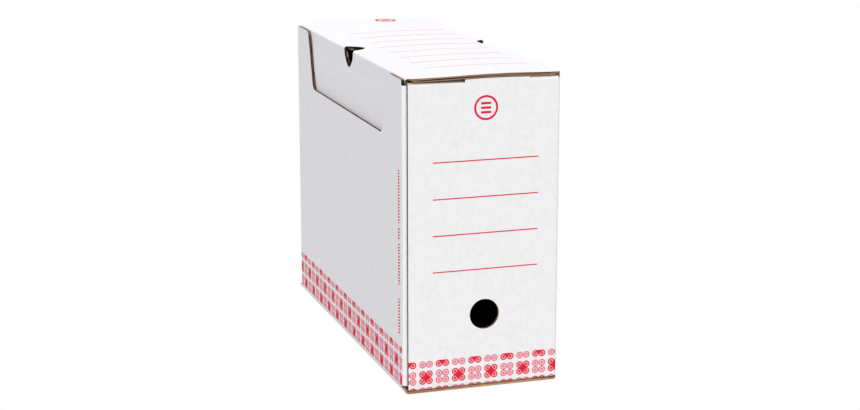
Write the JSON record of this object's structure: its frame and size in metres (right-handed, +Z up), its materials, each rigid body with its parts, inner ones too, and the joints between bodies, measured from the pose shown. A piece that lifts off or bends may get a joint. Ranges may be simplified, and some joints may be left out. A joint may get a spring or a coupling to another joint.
{
  "type": "archival box",
  "caption": "Upright corrugated-board filing box with a finger hole in its end, a window in one side, and a hinged crowned lid whose tuck flap slides down inside that side.",
  "frame": {"origin": "middle of the rectangle that the box stands on", "axes": "+X across the width towards the lid's hinge, +Y along the length away from the labelled end, +Z up"},
  "size_m": [0.13, 0.335, 0.256],
  "materials": {
    "bottom_panel": "matt white-lined corrugated board with a red printed border",
    "left_wall": "matt white-lined corrugated board with a red printed border",
    "right_wall": "matt white-lined corrugated board with a red printed border",
    "front_panel": "matt white-lined corrugated board with red ruled lines and a printed border",
    "back_panel": "matt white-lined corrugated board with a red printed border",
    "corner_flaps": "matt white-lined corrugated board, brown kraft inside",
    "floor_flaps": "brown kraft liner of corrugated board",
    "dust_flaps": "matt white-lined corrugated board, brown kraft inside",
    "lid_panel": "matt white-lined corrugated board with pale red ruled lines",
    "lid_tuck_flap": "matt white-lined corrugated board, brown kraft inside"
  },
  "bodies": {
    "carton": {"bottom_panel": "bottom_panel", "left_wall": "left_wall", "right_wall": "right_wall", "front_panel": "front_panel", "back_panel": "back_panel", "front_corner_flap": "corner_flaps", "back_corner_flap": "corner_flaps", "front_floor_flap": "floor_flaps", "back_floor_flap": "floor_flaps"},
    "lid": {"lid_panel": "lid_panel"},
    "tuck_flap": {"lid_tuck_flap": "lid_tuck_flap"},
    "front_dust": {"front_dust_flap": "dust_flaps"},
    "back_dust": {"back_dust_flap": "dust_flaps"}
  },
  "joints": [
    {"name": "lid_hinge", "type": "hinge", "parent": "carton", "child": "lid", "pos_m": [0.065, 0, 0.252], "axis": [0, 1, 0], "range_deg": [0, 120]},
    {"name": "tuck_fold", "type": "hinge", "parent": "lid", "child": "tuck_flap", "pos_m": [-0.0575, 0, 0.25185], "axis": [0, -1, 0], "range_deg": [0, 85]},
    {"name": "front_dust_fold", "type": "hinge", "parent": "carton", "child": "front_dust", "pos_m": [0, -0.1627, 0.2485], "axis": [-1, 0, 0], "range_deg": [0, 80]},
    {"name": "back_dust_fold", "type": "hinge", "parent": "carton", "child": "back_dust", "pos_m": [0, 0.1627, 0.2485], "axis": [1, 0, 0], "range_deg": [0, 80]}
  ],
  "couplings": [
    {"joint": "tuck_fold", "follows": "lid_hinge", "ratio": 0.7}
  ]
}
